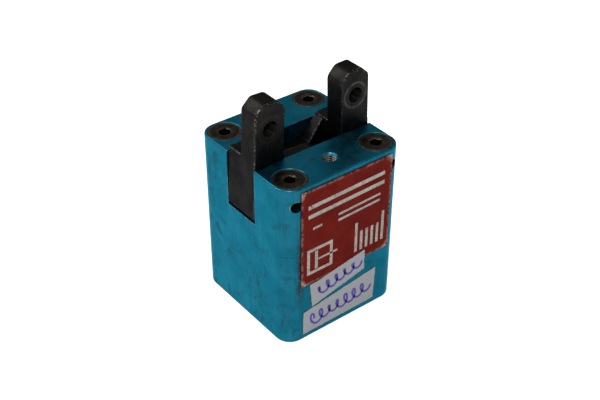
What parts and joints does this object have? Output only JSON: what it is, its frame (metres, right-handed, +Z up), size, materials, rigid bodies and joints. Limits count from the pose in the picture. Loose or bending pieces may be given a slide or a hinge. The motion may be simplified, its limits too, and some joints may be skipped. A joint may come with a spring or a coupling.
{
  "type": "pneumatic angular gripper",
  "caption": "Square-bodied pneumatic angular gripper: an air piston lifts a cross pin that swings drilled jaws open from a slot in the top.",
  "frame": {"origin": "centre of the flat base face of the cylinder body", "axes": "+Z up from the base towards the finger tips, +X along the jaw slot to the right of the name plate, -Y out of the name plate"},
  "size_m": [0.0501, 0.0508, 0.0877],
  "materials": {
    "teal_anodised": "blue-green anodised, satin, handled",
    "black_steel": "black oxide, worn bright on edges",
    "ground_steel": "ground, bright",
    "screw_steel": "brown-black oxide",
    "plain_aluminium": "turned, satin",
    "bush_bronze": "sintered bronze",
    "seal_rubber": "matte",
    "red_plate": "dark red lacquered foil, edges worn",
    "paper": "matte adhesive paper"
  },
  "bodies": {
    "housing": {"cylinder_body": "teal_anodised", "jaw_housing": "teal_anodised", "cylinder_head": "plain_aluminium", "head_ring": "seal_rubber", "rod_seal": "seal_rubber", "rod_bush": "bush_bronze", "lower_bumper": "seal_rubber", "upper_bumper": "seal_rubber", "pivot_pin_left": "ground_steel", "pivot_pin_right": "ground_steel", "dowel_left": "ground_steel", "dowel_right": "ground_steel", "screw_front_left": "screw_steel", "screw_front_right": "screw_steel", "screw_back_left": "screw_steel", "screw_back_right": "screw_steel", "name_plate": "red_plate", "strip_upper": "paper", "strip_lower": "paper"},
    "piston_unit": {"piston": "plain_aluminium", "piston_seal": "seal_rubber", "piston_screw": "screw_steel", "piston_rod": "ground_steel", "crosshead": "black_steel", "drive_pin": "ground_steel"},
    "left_jaw": {"jaw_left": "black_steel"},
    "right_jaw": {"jaw_right": "black_steel"}
  },
  "joints": [
    {"name": "piston_slide", "type": "slide", "parent": "housing", "child": "piston_unit", "axis": [0, 0, 1], "range_m": [0, 0.008]},
    {"name": "left_jaw_swing", "type": "hinge", "parent": "housing", "child": "left_jaw", "pos_m": [-0.0204, 0, 0.0582], "axis": [0, -1, 0], "range_deg": [0, 22.16]},
    {"name": "right_jaw_swing", "type": "hinge", "parent": "housing", "child": "right_jaw", "pos_m": [0.0204, 0, 0.0582], "axis": [0, 1, 0], "range_deg": [0, 22.16]}
  ],
  "couplings": [
    {"joint": "left_jaw_swing", "follows": "piston_slide", "rad_per_m": 48.35},
    {"joint": "right_jaw_swing", "follows": "piston_slide", "rad_per_m": 48.35}
  ]
}
